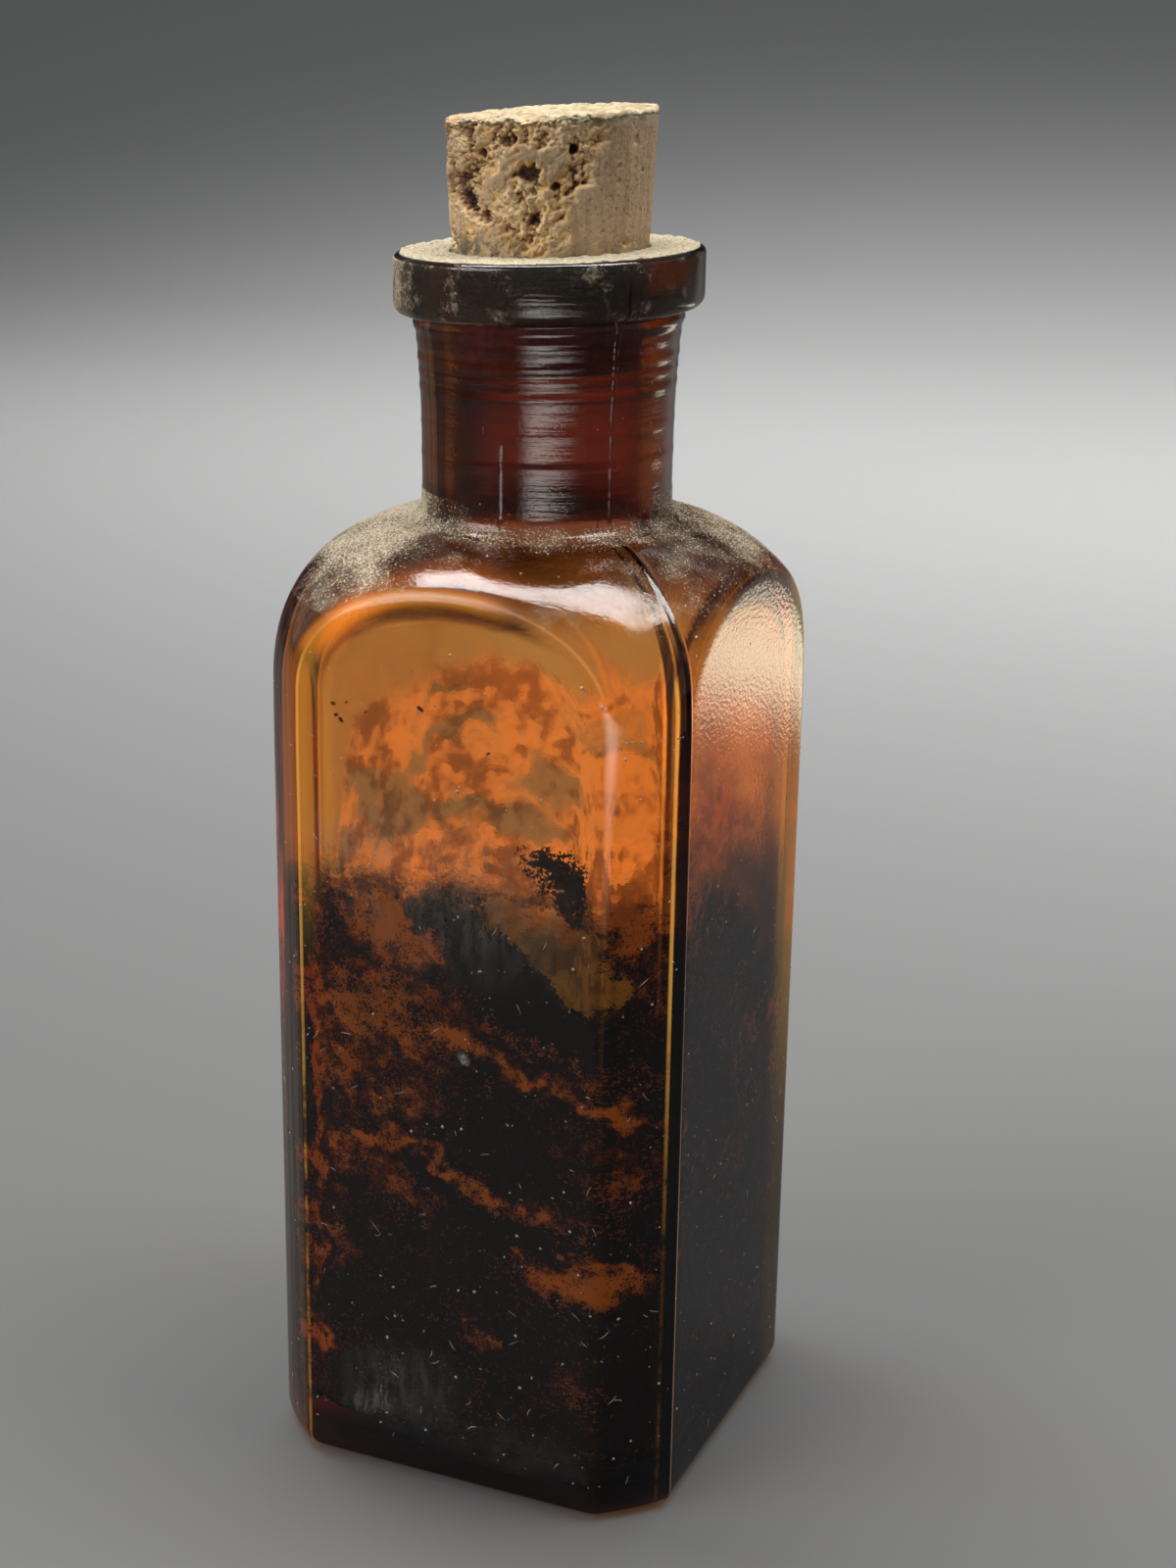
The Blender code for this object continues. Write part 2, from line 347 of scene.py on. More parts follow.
def stir(share, first, second):
    """A mix of two colours."""
    return place("ShaderNodeMix", {0: share, 6: first, 7: second}, data_type="RGBA").outputs[2]


def stir_values(share, first, second):
    """A mix of two numbers."""
    return place("ShaderNodeMix", {0: share, 2: first, 3: second}).outputs[0]


def grain(where, scale, detail=3.0, roughness=0.5, gives="Fac"):
    feeds = {"Vector": where, "Scale": scale, "Detail": detail, "Roughness": roughness}
    return place("ShaderNodeTexNoise", feeds).outputs[gives]


def stretched(where, scale, turned_by=(0, 0, 0)):
    return place("ShaderNodeMapping", {"Vector": where, "Scale": scale, "Rotation": turned_by}).outputs[0]


def axes(where):
    """The three coordinates of a place."""
    return place("ShaderNodeSeparateXYZ", {0: where}).outputs[:3]


def vectors(operation, **feeds):
    """Vector maths on first and second, or on first and Scale. A length comes out as a number."""
    feeds = {{"first": 0, "second": 1}.get(name, name): value for name, value in feeds.items()}
    outputs = place("ShaderNodeVectorMath", feeds, operation=operation).outputs
    return outputs["Value" if operation == "LENGTH" else "Vector"]


def bumped(relief):
    """The normal of a surface whose relief is given in millimetres."""
    return place("ShaderNodeBump", {"Strength": 1.0, "Distance": MM, "Height": relief}).outputs[0]


def new_material(name):
    """A material with its shader and the piece's own coordinates."""
    made = bpy.data.materials.new(name)
    made.use_nodes = True
    nodes = made.node_tree.nodes
    return made, nodes["Principled BSDF"], nodes.new("ShaderNodeTexCoord").outputs["Object"]


def dress(piece, material):
    """Gives a piece its one material."""
    piece.data.materials.clear()
    piece.data.materials.append(material)


def crease_distance(x, y, z):
    """How far a point lies onto a flat from the flat's crease. It is below 0 on the round form."""
    rise = most(maths("DIVIDE", maths("SUBTRACT", z, BODY_TOP), SHOULDER_TOP - BODY_TOP), 0.0)
    across = maths("POWER", rest_of(maths("MINIMUM", maths("POWER", rise, DOME_UP), 1.0)), 1 / DOME_ACROSS)
    dome_foot = NECK_RADIUS + NECK_ROOT
    turned_size = plus(dome_foot, across, CORNER_RADIUS - dome_foot)
    beyond = vectors("LENGTH", first=place("ShaderNodeCombineXYZ", {0: x, 1: y}).outputs[0])
    widest = most(maths("ABSOLUTE", x), maths("ABSOLUTE", y))
    return maths("SUBTRACT", maths("SUBTRACT", turned_size, beyond), maths("SUBTRACT", BODY_HALF, widest))


def glass_relief(where, x, z, neck):
    """Orange peel that is strongest on the right face, sand on the shoulder, and tool marks on the neck."""
    peel = grain(stretched(where, (1800, 1800, 2600)), 1.0, 2)
    rough_cast = spread(z, 80 * MM, 86 * MM, 0.004, 0.012)
    relief = times(peel, plus(rough_cast, spread(x, 20.0 * MM, 20.4 * MM), 0.022))
    relief = plus(relief, grain(where, 3600, 2, 0.6), spread(z, 80 * MM, 85 * MM, 0.002, 0.012))
    relief = plus(relief, grain(where, 90, 1), 0.06)
    tooled = grain(stretched(where, (60, 60, 2200)), 1.0)
    return plus(relief, times(tooled, neck), 0.03)


def glass_tint(x, y, z, azimuth, neck, corner):
    """Darker where the glass is thick: shoulder, neck, lip and foot. Painted shade too: the foot nearly black where
    it stands, a dark band and line beside the seam, and the neck's sides as seen from the camera. The neck's violet
    cast is a painted sheen.
    """
    tint = stir(spread(z, 84 * MM, 87 * MM), (1, 1, 1), (0.28, 0.21, 0.19))
    # the neck's violet cast is a painted sheen; its left and right sides as seen from the camera are darker, painted
    # shade
    sideways = plus(times(x, math.cos(VIEW_TURN)), y, math.sin(VIEW_TURN))
    painted_neck_side_shade = most(fade(sideways, -9.6 * MM, -5.5 * MM), spread(sideways, 8.6 * MM, 11 * MM, 0.0, 0.8))
    tint = stir(neck, tint, stir(painted_neck_side_shade, (0.46, 0.25, 0.36), (0.15, 0.125, 0.20)))
    tint = stir(spread(z, 108.4 * MM, 109.6 * MM), tint, (0.15, 0.115, 0.13))
    # the foot nearly black: thick glass, and painted shade where the bottle stands on the table
    tint = stir(fade(z, 3.5 * MM, 8 * MM), tint, (0.012, 0.010, 0.009))
    # a nearly black band beside the seam and a dark line along one side of the seam on the shoulder, both painted
    # shade
    painted_seam_strip_shade = times(band(azimuth, -0.682, -0.676, -0.6345, -0.6285), fade(z, 82 * MM, 88 * MM))
    off_seam = maths("ABSOLUTE", maths("ADD", azimuth, 0.014 - SEAM_TURN))
    painted_seam_line_shade = times(fade(off_seam, 0.008, 0.016), band(z, 78 * MM, 81 * MM, 90.5 * MM, 92 * MM))
    tint = stir(most(painted_seam_strip_shade, painted_seam_line_shade), tint, (0.012, 0.009, 0.008))
    return stir(corner, tint, (0.55, 0.52, 0.54))


def painted_crease_glow(where, x, y, z, azimuth, flatward, corner):
    """Painted glow: emission for light that runs inside the walls and comes out at the creases of the flats as thin
    golden lines, with painted highlights by the seam and on the right face, and a faint painted glow for dust on the
    front-left corner.
    """
    thin = times(band(flatward, -0.06 * MM, 0.02 * MM, 0.14 * MM, 0.26 * MM), fade(z, 87.2 * MM, 88.2 * MM))
    front_left = times(fade(x, 0.0, 6 * MM), spread(y, -18 * MM, -14 * MM, 0.9, 0.12))
    on_arch = times(spread(z, 78 * MM, 81 * MM, 0.03, 0.32), spread(y, -18 * MM, -14 * MM, 1.0, 0.3))
    beside_strip = times(band(azimuth, -0.702, -0.692, -0.686, -0.680), spread(z, 82 * MM, 80 * MM))
    beside_strip = times(beside_strip, spread(z, 22 * MM, 56 * MM, 0.15, 1.0))
    thin = most(times(thin, most(front_left, on_arch)), beside_strip)
    broken = times(spread(grain(where, 420, 4, 0.7), 0.38, 0.56), 0.75)
    thin = times(thin, stir_values(spread(z, 30 * MM, 56 * MM), broken, 1.0))
    on_front = times(fade(y, -17 * MM, -14 * MM), fade(x, 2 * MM, 7 * MM))
    broad = times(band(flatward, -1.0 * MM, -0.1 * MM, 0.1 * MM, 1.6 * MM), on_front)
    broad = times(broad, band(z, 79 * MM, 82 * MM, 87.4 * MM, 88.4 * MM))
    beside_line = times(band(flatward, 0.1 * MM, 0.3 * MM, 0.5 * MM, 1.4 * MM), on_front)
    beside_line = times(beside_line, spread(z, 50 * MM, 66 * MM))
    streaky = grain(stretched(where, (1500, 1500, 30)), 1.0, 3, 0.6)
    corner_dust_glow = times(corner, 0.9, spread(streaky, 0.40, 0.60, 0.25, 1.0))
    painted_rear_glow = times(spread(y, 8 * MM, 14 * MM), spread(x, 18 * MM, 20 * MM), spread(z, 20 * MM, 60 * MM, 0.1, 1.0))
    # a painted pale highlight line just past the seam, on the far side from the dark band
    rim = times(band(azimuth, -0.6285, -0.625, -0.622, -0.618), spread(streaky, 0.36, 0.60, 0.2, 1.0))
    rim = times(rim, fade(z, 82 * MM, 86 * MM))
    gold = stir(spread(z, 20 * MM, 60 * MM), (0.27, 0.11, 0.008), (0.42, 0.21, 0.035))
    light = (0, 0, 0)
    for share, colour in (
        (corner_dust_glow, (0.036, 0.025, 0.015)), (painted_rear_glow, (0.15, 0.085, 0.008)), (rim, (0.15, 0.095, 0.07)),
        (beside_line, (0.15, 0.09, 0.010)), (broad, (0.44, 0.135, 0.008)), (thin, gold),
    ):
        light = stir(share, light, colour)
    return light


def amber_glass():
    made, shader, where = new_material("amber_glass")
    x, y, z = axes(where)
    azimuth = maths("ARCTAN2", y, x)
    flatward = crease_distance(x, y, z)
    neck = spread(z, 89 * MM, 92 * MM)
    corner = times(band(azimuth, -2.53, -2.49, -2.19, -2.17), fade(flatward, -0.3 * MM, 0.0))
    smudge = plus(spread(grain(where, 160, 5, 0.6), 0.45, 0.7, 0.012, 0.05), neck, 0.05)
    arch = times(spread(maths("ABSOLUTE", flatward), 0.3 * MM, 1.2 * MM, 0.22, 0.0), spread(z, 80 * MM, 83 * MM))
    # the emission colour is painted glow at the creases and by the seam
    feed(shader, {
        "Base Color": glass_tint(x, y, z, azimuth, neck, corner), "Roughness": maths("ADD", smudge, arch),
        "Normal": bumped(glass_relief(where, x, z, neck)), "Metallic": 0.0, "IOR": 1.5, "Transmission Weight": 1.0,
        "Emission Color": painted_crease_glow(where, x, y, z, azimuth, flatward, corner), "Emission Strength": 1.0,
    })
    nodes = made.node_tree.nodes
    clear = nodes.new("ShaderNodeBsdfTransparent")
    feed(clear, {"Color": (0.9, 0.9, 0.9)})
    stained = nodes.new("ShaderNodeVolumeAbsorption")
    feed(stained, {"Color": (0.88, 0.58, 0.06), "Density": 500.0})
    shadow = nodes.new("ShaderNodeLightPath").outputs["Is Shadow Ray"]
    surface = place("ShaderNodeMixShader", {0: shadow, 1: shader.outputs[0], 2: clear.outputs[0]}).outputs[0]
    feed(nodes["Material Output"], {"Surface": surface, "Volume": stained.outputs[0]})
    return made


dress(glass, amber_glass())
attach(glass, "bottle")
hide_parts("glass_bottle")


# Dried crust.
# What the bottle held has dried onto the inside of the walls: rust-brown and orange where it is thin,
# black where it is thick, and torn off in places. It sticks to the glass itself.
CRUST_WALL = 0.25 * MM
STUCK_IN = 0.03 * MM

crust_line = [(INNER_RADIUS + STUCK_IN, FLOOR + INNER_HEEL)]
crust_line += straight(crust_line[0], (INNER_RADIUS + STUCK_IN, BODY_TOP), 14)
crust = turned("dried_crust", crust_line, GLASS_SIDES)
press_flats(INNER_HALF + STUCK_IN, INNER_EASE, INNER_EASE_ABOVE)
size = close_foot(FLOOR + INNER_HEEL, INNER_HEEL, INNER_HALF)
close_centre(size, (0.7, 0.4, 0.1), FLOOR)
bpy.ops.mesh.select_all(action="SELECT")
bpy.ops.mesh.normals_make_consistent(inside=False)
bpy.ops.object.mode_set(mode="OBJECT")
thickened = crust.modifiers.new("wall", "SOLIDIFY")
thickened.thickness = CRUST_WALL
thickened.offset = -1
bpy.ops.object.modifier_apply(modifier="wall")
bpy.ops.object.shade_smooth_by_angle(angle=math.radians(40))


def new_group(name, takes, gives):
    """A node group with named inputs and outputs, what it takes in, and its output node."""
    group = bpy.data.node_groups.new(name, "ShaderNodeTree")
    for way, sockets in (("INPUT", takes), ("OUTPUT", gives)):
        for label, kind in sockets.items():
            group.interface.new_socket(label, in_out=way, socket_type="NodeSocket" + kind)
    return group, group.nodes.new("NodeGroupInput").outputs, group.nodes.new("NodeGroupOutput")


def blot_group():
    """One soft-edged blot of crust: 1 in its middle, 0 outside. Lengths in it are millimetres."""
    takes = {"Place": "Vector", "Centre": "Vector", "Size": "Vector", "Turn": "Vector"}
    group, given, end = new_group("blot", takes, {"Blot": "Float"})
    feeds = {"Vector": given["Place"], "Location": given["Centre"], "Rotation": given["Turn"], "Scale": given["Size"]}
    local = place("ShaderNodeMapping", feeds, vector_type="TEXTURE").outputs[0]
    feed(end, {"Blot": fade(vectors("LENGTH", first=local), 0.35, 1.4)})
    return group


blot = blot_group()


def blots(where, rows, wall):
    """Adds up blots given as (along, up, half-width, half-height, slope in degrees, weight) on one wall."""
    facing = wall in ("front", "back")
    off = INNER_HALF / MM * (-1 if wall in ("front", "left") else 1)
    total = 0.0
    for along, up, wide, high, slope, weight in rows:
        feeds = {"Centre": (off, along, up), "Size": (9, wide, high), "Turn": (math.radians(slope), 0, 0)}
        if facing:
            feeds = {"Centre": (along, off, up), "Size": (wide, 9, high), "Turn": (0, math.radians(-slope), 0)}
        made = place("ShaderNodeGroup", {"Place": where, **feeds}, node_tree=blot)
        total = plus(total, made.outputs[0], weight)
    return total


# (along, up, half-width, half-height, slope in degrees, weight) in millimetres
RUST_FRONT = (
    (-9.5, 56.8, 4.8, 3.4, 0, 0.75), (-4.6, 54.0, 5.6, 4.6, 0, 0.70), (-8.6, 47.8, 5.8, 3.6, 0, 0.66),
    (-12.5, 45.0, 2.6, 8.0, 0, 0.4), (-4.0, 44.4, 4.4, 1.5, 8, 0.45), (0.7, 45.4, 4.2, 1.3, -17, 0.85),
    (8.5, 42.7, 4.6, 1.3, -19, 0.85), (14.8, 40.2, 2.8, 1.2, -27, 0.8), (19, 38.2, 3, 1.2, -20, 0.7),
    (0, 48.6, 4.2, 1.7, -5, 0.5), (7, 46.6, 4.2, 1.5, -14, 0.5), (12.4, 43.6, 1.8, 2.8, 0, 0.4),
    (-7.5, 39.6, 7.5, 5.2, 0, 0.60), (4.7, 38.5, 1.2, 2.2, 0, 0.4), (-11.5, 33.9, 3.2, 1.3, 12, 0.65),
    (-7, 34.5, 3.2, 1.1, 0, 0.65), (-2.8, 33.2, 2.8, 1.1, -28, 0.75), (1.5, 31.4, 3.4, 1.3, -22, 0.8),
    (6, 29.6, 3.6, 1.9, -20, 0.6), (10.5, 29.0, 3.6, 1.9, -8, 0.55), (-9.2, 31.2, 5.2, 2.4, 0, 0.75),
    (-12.2, 24, 1.5, 5, 0, 0.55), (-4, 28.8, 3.6, 1.2, -15, 0.45), (16.7, 34.5, 5.5, 5.5, 0, 0.46),
    (13.6, 24.0, 7.6, 3.3, 4, 0.95), (2.7, 16, 2.6, 0.9, -10, 0.4), (10.5, 13.5, 5.5, 1.0, -50, 0.36),
    (-15.0, 36, 1.0, 32, 0, 0.7), (-14.8, 10.5, 1.5, 2.2, 0, 0.5), (16, 53, 6.5, 5, 0, 0.46),
    (16.5, 58.8, 5.5, 2.6, 0, 0.75), (16, 43.5, 3.2, 2.8, 0, 0.35), (17.5, 12, 3.0, 7.0, 0, -0.35),
    (-2.8, 58.0, 3.8, 1.3, 0, -0.8), (5.8, 51.4, 8.8, 2.4, -34, -0.9), (-1.5, 30.4, 5.5, 0.9, -32, -0.6),
    (6.4, 27.0, 4.4, 0.9, -12, -0.6), (15.2, 26.4, 1.6, 1.0, 0, -0.8), (18.4, 22.6, 2.6, 3.0, 0, -0.6),
    (4.5, 37.5, 4.6, 4.0, -20, -0.25), (-7, 43.5, 2.4, 1.2, 0, -0.3),
)
RUST_RIGHT = (
    (8, 41, 9, 3.6, 8, 0.5), (14.5, 34, 3.5, 9, 0, 0.45), (19, 40, 2.5, 30, 0, 0.5), (13, 12, 5, 3, 0, 0.25),
    (-6, 56, 8, 5, 0, 0.35), (2, 30, 8, 4, 20, 0.35), (-2, 47, 7, 2.5, -15, 0.4), (15, 20, 3, 6, 0, 0.35),
)
OLIVE_FRONT = (
    (-8.6, 47.4, 5.6, 3.4, 0, 0.9), (16, 43.2, 3.4, 3.0, 0, 0.8), (13.6, 24.0, 7.0, 3.0, 4, 0.45),
    (-10, 59, 5, 3, 0, 0.5),
)
GREY_STREAKS_LEFT = (
    (13, 63.5, 6.0, 1.3, 28, 0.8), (5.7, 57.2, 8.5, 2.4, -6, 1.0), (-8, 58, 6, 2.6, 0, 0.7),
    (12, 68, 4, 0.8, 30, 0.5), (2, 60.5, 10, 2.6, -25, 0.95),
)
GREY_STREAKS_BACK = (
    (-14.2, 65, 2.6, 0.8, -28, 0.8), (-15, 68.6, 3, 0.8, -25, 0.6), (-5.2, 58.0, 5.5, 2.2, -18, 0.9),
    (5, 63, 6, 1.2, -20, 0.55), (-10, 54.5, 7, 2.2, -16, 0.9),
)
LONE_PATCH = ((9.8, 63.0, 2.7, 2.5, 0, 1.0), (11.0, 60.4, 1.2, 2.2, 0, 0.9), (7.6, 64, 1.6, 1.2, 0, 0.6))
TORN_OFF = ((7.7, 57.0, 7.5, 3.0, -18, 1.0), (13.4, 52.2, 2.8, 2.4, 0, 1.0), (10.2, 55, 4.0, 2.6, -28, 0.8))
CHIPS = (
    (-12.3, 75.6, 0.30, 0.13, -30, 1.0), (-11.5, 74.2, 0.34, 0.10, -50, 1.0), (-12.0, 74.6, 0.22, 0.16, 0, 1.0),
    (-10.9, 75.9, 0.13, 0.10, 0, 1.0), (-3.6, 76.2, 0.42, 0.12, -35, 1.0), (-9.0, 75.2, 0.14, 0.11, 0, 1.0),
    (3.0, 73.0, 0.2, 0.12, 20, 1.0),
)


def uneven(value, much, onto):
    """Adds a noise, which swings one tenth either way, so many times over to a value."""
    return plus(onto, maths("SUBTRACT", value, 0.5), much)


def in_millimetres(where):
    return vectors("SCALE", first=where, Scale=1000.0)


def crust_look():
    made, shader, metres = new_material("rust_crust")
    where = in_millimetres(metres)
    x, y, z = axes(where)
    drift = vectors("SUBTRACT", first=grain(where, 0.3, gives="Color"), second=(0.5, 0.5, 0.5))
    bent = vectors("ADD", first=where, second=vectors("SCALE", first=drift, Scale=7.0))
    marble = grain(stretched(bent, (0.14, 0.14, 0.30), (0, math.radians(22), 0)), 1.0, 5, 0.6)
    cloud = grain(stretched(bent, (0.16, 0.16, 0.24)), 1.0, 4)
    grit = grain(where, 2.4, 3, 0.75)
    stipple = grain(where, 4.6, 2, 0.6)
    powder = grain(where, 0.75, 3, 0.6)
    smoke = uneven(powder, 0.5, cloud)
    upper = uneven(marble, 16.0, z)
    front = fade(y, -14.5, -13.5)
    side = most(front, spread(x, 13.5, 14.5))

    # the thick crust low on the walls
    rusty = maths("ADD", blots(bent, RUST_FRONT, "front"), blots(bent, RUST_RIGHT, "right"))
    rusty = maths("ADD", rusty, spread(z, 57, 62, 0.0, 0.7))
    elsewhere = times(spread(y, -14, -10), fade(x, 13, 15))
    rusty = plus(rusty, elsewhere, spread(z, 8, 44, 0.1, 0.6))
    rusty = uneven(powder, 1.5, uneven(marble, 1.1, rusty))
    rust = stir(spread(rusty, 0.45, 1.0), (0.085, 0.028, 0.008), (0.235, 0.112, 0.026))
    rust = stir(spread(cloud, 0.50, 0.64, 0.0, 0.6), rust, (0.20, 0.13, 0.035))
    rust = stir(spread(blots(bent, OLIVE_FRONT, "front"), 0.2, 1.0, 0.0, 0.8), rust, (0.17, 0.12, 0.035))
    ground = stir(spread(rusty, 0.25, 0.95), (0.006, 0.006, 0.007), (0.055, 0.022, 0.010))
    stain = spread(uneven(stipple, 3.2, uneven(grit, 3.0, rusty)), 0.46, 0.68, 0.0, 0.92)
    low = stir(stain, ground, rust)

    # the thin haze above it, which is seen on the far walls
    haze = stir(spread(smoke, 0.40, 0.56), (0.50, 0.27, 0.11), (1.0, 0.62, 0.25))
    # grey streaks that darken the haze on the far walls
    smudge = maths("ADD", blots(bent, GREY_STREAKS_LEFT, "left"), blots(bent, GREY_STREAKS_BACK, "back"))
    smudge = uneven(marble, 2.0, uneven(cloud, 1.6, uneven(grit, 0.8, smudge)))
    smudge = spread(smudge, 0.1, 0.85, 0.0, 0.9)
    haze = stir(smudge, haze, (0.30, 0.24, 0.18))
    olive = spread(uneven(stipple, 0.8, smoke), 0.4, 0.6)
    olive = stir(olive, (0.085, 0.062, 0.014), (0.27, 0.185, 0.04))
    haze = stir(spread(upper, 41, 48), olive, haze)
    far_low = stir(spread(uneven(grit, 10.0, upper), 30, 38), low, haze)
    near = stir(spread(upper, 60, 66), low, haze)
    colour = stir(side, far_low, stir(front, near, low))
    lone = blots(bent, LONE_PATCH, "front")
    lone = times(spread(uneven(grit, 4.5, lone), 0.5, 0.65), spread(lone, 0.05, 0.3))
    turned_corner = times(fade(x, -17.3, -16.4), fade(y, -13.0, -11.0))
    kept_dark = most(times(lone, front), turned_corner)

    # painted glow: emission that stands in for light coming through the thin places from behind
    glow = times(stain, spread(rusty, 0.4, 1.1), side)
    glow = stir(glow, (0, 0, 0), (0.085, 0.038, 0.004))
    painted_haze_glow = times(spread(upper, 42, 51), rest_of(side), spread(smoke, 0.38, 0.56, 0.3, 1.0))
    glow = stir(painted_haze_glow, glow, stir(smudge, (0.52, 0.24, 0.085), (0.18, 0.15, 0.11)))
    painted_olive_glow = times(band(upper, 30, 36, 42, 48), rest_of(side), spread(smoke, 0.40, 0.58, 0.2, 1.0))
    glow = stir(painted_olive_glow, glow, (0.050, 0.038, 0.006))

    # where the crust still sticks: the front, the far walls and the right wall end at their own heights
    ragged = uneven(marble, 10.0, uneven(stipple, 3.0, uneven(grit, 5.0, z)))
    torn_off = spread(uneven(grit, 2.0, blots(bent, TORN_OFF, "front")), 0.45, 0.6)
    chips = spread(uneven(grit, 1.2, blots(where, CHIPS, "front")), 0.45, 0.6)
    near_cover = most(times(fade(ragged, 57, 62), rest_of(torn_off)), lone, times(chips, front))
    drop = times(fade(x, -15.5, -14.5), spread(y, -9.5, -3.0, 13.0, 1.0))
    haze_edge = maths("ADD", uneven(grit, 3.0, uneven(cloud, 7.0, z)), drop)
    thick = most(spread(smoke, 0.40, 0.56, 0.8, 0.5), times(smudge, 0.85))
    far_cover = times(fade(haze_edge, 69.0, 72.5), stir_values(spread(upper, 47, 54), 1.0, thick))
    right_edge = plus(ragged, spread(y, -8, 14), 14.0)
    right_cover = most(fade(right_edge, 58, 66), spread(right_edge, 64, 76, 0.62, 0.0))
    right_side = times(spread(x, 14.5, 15.5), rest_of(front))
    cover = stir_values(front, stir_values(right_side, far_cover, right_cover), near_cover)
    feed(shader, {
        "Base Color": stir(kept_dark, colour, (0.014, 0.011, 0.009)), "Roughness": 0.9, "Specular IOR Level": 0.0,
        "Emission Color": stir(kept_dark, glow, (0, 0, 0)), "Emission Strength": 1.0, "Alpha": cover,
    })
    return made


dress(crust, crust_look())
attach(crust, "bottle")
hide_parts("residue_film")


# Caked bottom.
# A black cake of the dried contents lies on the bottom inside the crust. It shrank as it dried, so that
# its top is uneven.
CAKE_FOOT = 3.8 * MM
CAKE_TOP = 10.3 * MM
CAKE_HALF = 16.8 * MM
CAKE_HEEL = 2.6 * MM

cake_edge = INNER_RADIUS - 0.9 * MM
cake_line = [(0.0, CAKE_FOOT)] + straight((0.0, CAKE_FOOT), (cake_edge - CAKE_HEEL, CAKE_FOOT), 6)
cake_line += straight(cake_line[-1], (cake_edge, CAKE_FOOT + CAKE_HEEL), 4)
cake_line += straight(cake_line[-1], (cake_edge, CAKE_TOP), 6)
cake_line += straight(cake_line[-1], (0.0, CAKE_TOP), 40)
cake = turned("dried_cake", cake_line, 180)
bpy.ops.object.mode_set(mode="OBJECT")
for vert in cake.data.vertices:
    radius = math.hypot(vert.co.x, vert.co.y)
    widest = max(abs(vert.co.x), abs(vert.co.y), MM / 1000)
    squared = min(cake_edge, CAKE_HALF * radius / widest) / cake_edge
    vert.co *= Vector((squared, squared, 1))
    fold = noise.fractal(vert.co / MM * 0.22, 1.0, 2.0, 5)
    if vert.co.z > CAKE_TOP - 0.5 * MM:
        vert.co.z -= (abs(fold) * 2.4 + smooth_step((radius - 15 * MM) / (6 * MM)) * 0.8) * MM
bpy.ops.object.shade_smooth_by_angle(angle=math.radians(40))


def cake_look():
    made, shader, where = new_material("dark_cake")
    lumps = grain(where, 500, 4, 0.65)
    fine = grain(where, 2600, 3, 0.7)
    colour = stir(spread(lumps, 0.40, 0.62), (0.008, 0.007, 0.006), (0.05, 0.026, 0.014))
    colour = stir(spread(fine, 0.62, 0.70), colour, (0.13, 0.055, 0.02))
    feed(shader, {"Base Color": colour, "Roughness": 0.85, "Normal": bumped(plus(times(fine, 0.08), lumps, 0.3))})
    return made


dress(cake, cake_look())
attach(cake, "bottle")
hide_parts("residue_cake")


# Dust and dirt on the glass.
# Years of pale dust lie on the lip and round the foot of the neck, thinner over the shoulder, with specks
# and short hairs of lint all over the glass and a very thin grey bloom on the front.
def dust_group():
    """Dry dust in two tones: its colour, its relief and the two noises that it is made of."""
    takes = {"Place": "Vector", "Light": "Color", "Dark": "Color"}
    gives = {"Colour": "Color", "Relief": "Float", "Fine": "Float", "Lumps": "Float"}
    group, given, end = new_group("dust", takes, gives)
    fine = grain(given["Place"], 6200, 3, 0.7)
    lumps = grain(given["Place"], 3600, 4, 0.65)
    mixed = uneven(fine, 0.5, lumps)
    colour = stir(spread(mixed, 0.36, 0.60), given["Dark"], given["Light"])
    feed(end, {"Colour": colour, "Relief": times(mixed, 0.008), "Fine": fine, "Lumps": lumps})
    return group


dust = dust_group()


def dust_look(name, light, dark, hidden=None):
    """Dry dust. hidden is a function that gives where it is thick, or nothing where it covers all."""
    made, shader, where = new_material(name)
    lying = place("ShaderNodeGroup", {"Place": where, "Light": light, "Dark": dark}, node_tree=dust).outputs
    feeds = {"Base Color": lying["Colour"], "Roughness": 0.95, "Specular IOR Level": 0.1}
    feed(shader, {**feeds, "Normal": bumped(lying["Relief"])})
    if hidden:
        feed(shader, {"Alpha": hidden(where, lying["Fine"], lying["Lumps"])})
    return made


ledge = [(8.88 * MM, LIP_TOP - 0.08 * MM)]
ledge += straight((8.91 * MM, LIP_TOP + 0.05 * MM), (13.3 * MM, LIP_TOP + 0.05 * MM), 30)
ledge += [(13.42 * MM, LIP_TOP - 0.06 * MM), (8.88 * MM, LIP_TOP - 0.08 * MM)]
lip_dust = turned("lip_dust", ledge, GLASS_SIDES)
bpy.ops.mesh.select_all(action="SELECT")
bpy.ops.mesh.remove_doubles(threshold=0.001 * MM)
bpy.ops.mesh.normals_make_consistent(inside=False)
bpy.ops.object.mode_set(mode="OBJECT")
for vert in lip_dust.data.vertices:
    if vert.co.z > LIP_TOP:
        spot = vert.co / MM
        lumps = noise.fractal(spot * 1.1, 1.0, 2.0, 4) * 0.16 + noise.voronoi(spot * 2.4)[0][0] * 0.09
        vert.co.z += max(lumps - 0.02, -0.04) * MM
lift_lean()
bpy.ops.object.shade_smooth()
dress(lip_dust, dust_look("pale_dust", (0.51, 0.45, 0.315), (0.29, 0.24, 0.16)))


def shell(name, low, high, off):
    """A thin skin over the glass between two heights."""
    line = [(radius + off, height + off * 0.5) for radius, height in outside if low <= height <= high]
    made = turned(name, line, GLASS_SIDES)
    press_flats(BODY_HALF + off, OUTER_EASE, OUTER_EASE_ABOVE)
    bpy.ops.object.mode_set(mode="OBJECT")
    skin = made.modifiers.new("skin", "SOLIDIFY")
    skin.thickness = 0.02 * MM
    skin.offset = 1
    bpy.ops.object.modifier_apply(modifier="skin")
    lift_lean()
    bpy.ops.object.shade_smooth()
    return made


